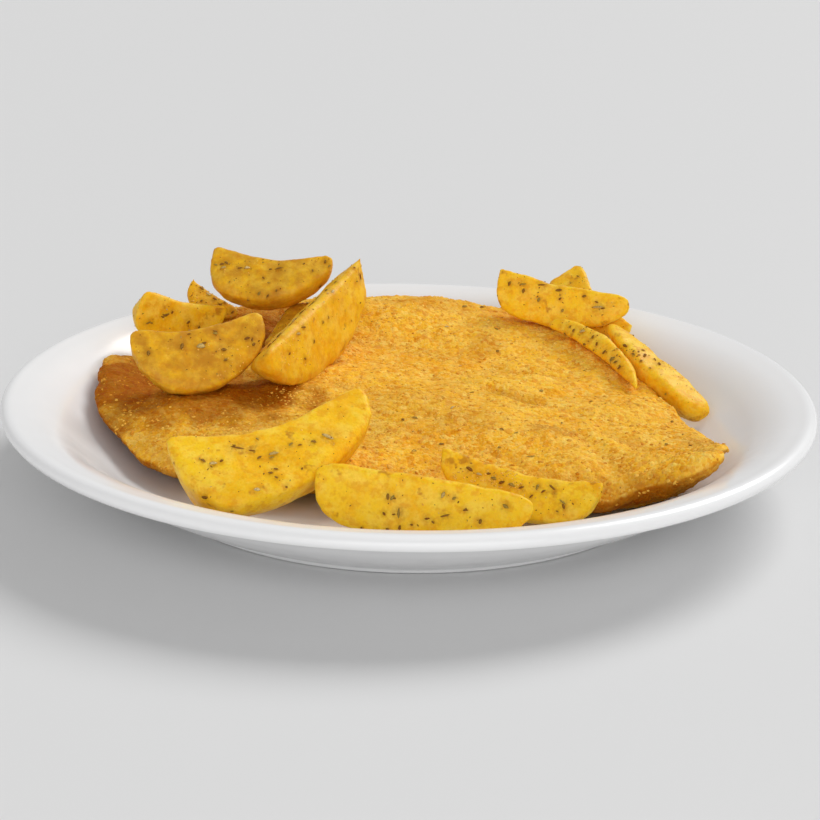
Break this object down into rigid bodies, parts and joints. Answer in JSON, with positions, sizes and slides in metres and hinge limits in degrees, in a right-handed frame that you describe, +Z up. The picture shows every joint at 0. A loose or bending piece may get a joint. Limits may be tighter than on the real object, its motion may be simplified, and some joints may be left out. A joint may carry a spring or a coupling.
{
  "type": "schnitzel",
  "caption": "Breaded schnitzel on a round white coupe plate with a turned-out rim, with herbed roast potato wedges heaped at its sides and laid in front.",
  "frame": {"origin": "centre of the plate, on the plane its foot ring stands on", "axes": "+Z up along the plate's axis; +X to the right as seen from the side where the wedges lie in front of the schnitzel; +Y away from that side"},
  "size_m": [0.28, 0.28, 0.062],
  "materials": {
    "porcelain": "glossy white glaze",
    "breadcrumb_crust": "golden fried breadcrumb, matt with small oily glints",
    "roast_potato": "golden yellow, oiled, with dried herbs"
  },
  "bodies": {
    "root": {"plate": "porcelain", "schnitzel": "breadcrumb_crust", "wedge_front_left": "roast_potato", "wedge_front_middle": "roast_potato", "wedge_front_right": "roast_potato", "wedge_left_front": "roast_potato", "wedge_left_back": "roast_potato", "wedge_left_far": "roast_potato", "wedge_left_top": "roast_potato", "wedge_left_right": "roast_potato", "wedge_left_under": "roast_potato", "wedge_right_front": "roast_potato", "wedge_right_far": "roast_potato", "wedge_right_low": "roast_potato", "wedge_right_side": "roast_potato"}
  },
  "joints": []
}
